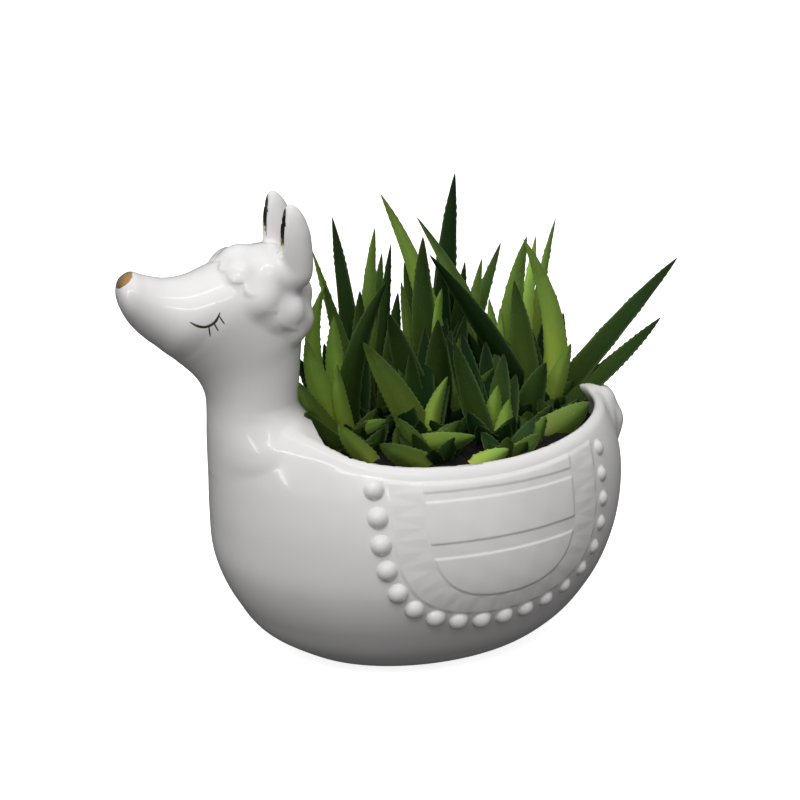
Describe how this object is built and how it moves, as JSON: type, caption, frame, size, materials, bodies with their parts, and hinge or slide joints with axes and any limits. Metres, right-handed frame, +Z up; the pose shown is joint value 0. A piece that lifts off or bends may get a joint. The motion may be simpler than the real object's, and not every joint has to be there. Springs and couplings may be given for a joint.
{
  "type": "animal shaped planter",
  "caption": "White glazed ceramic llama planter with a relief saddle blanket edged in beads, filled with soil and small pointed succulents",
  "frame": {"origin": "centre of the flat foot, on the surface that the planter stands on", "axes": "+Z up, +X from the llama's head toward its tail, +Y toward its right flank"},
  "size_m": [0.1942, 0.114, 0.1623],
  "materials": {
    "glazed_porcelain": "clear gloss glaze over a white body, with gold lustre on the nose and in the ears",
    "soil": "dark, loose and crumbly",
    "leaves": "satin skin with pale edges"
  },
  "bodies": {
    "root": {"body_shell": "glazed_porcelain", "neck_and_head": "glazed_porcelain", "fleece_cap": "glazed_porcelain", "left_ear": "glazed_porcelain", "right_ear": "glazed_porcelain", "tail_tuft": "glazed_porcelain", "left_blanket": "glazed_porcelain", "right_blanket": "glazed_porcelain", "left_blanket_beads": "glazed_porcelain", "right_blanket_beads": "glazed_porcelain", "potting_soil": "soil", "succulent_1": "leaves", "succulent_2": "leaves", "succulent_3": "leaves", "succulent_4": "leaves", "succulent_5": "leaves", "succulent_6": "leaves", "succulent_7": "leaves", "succulent_8": "leaves"}
  },
  "joints": []
}
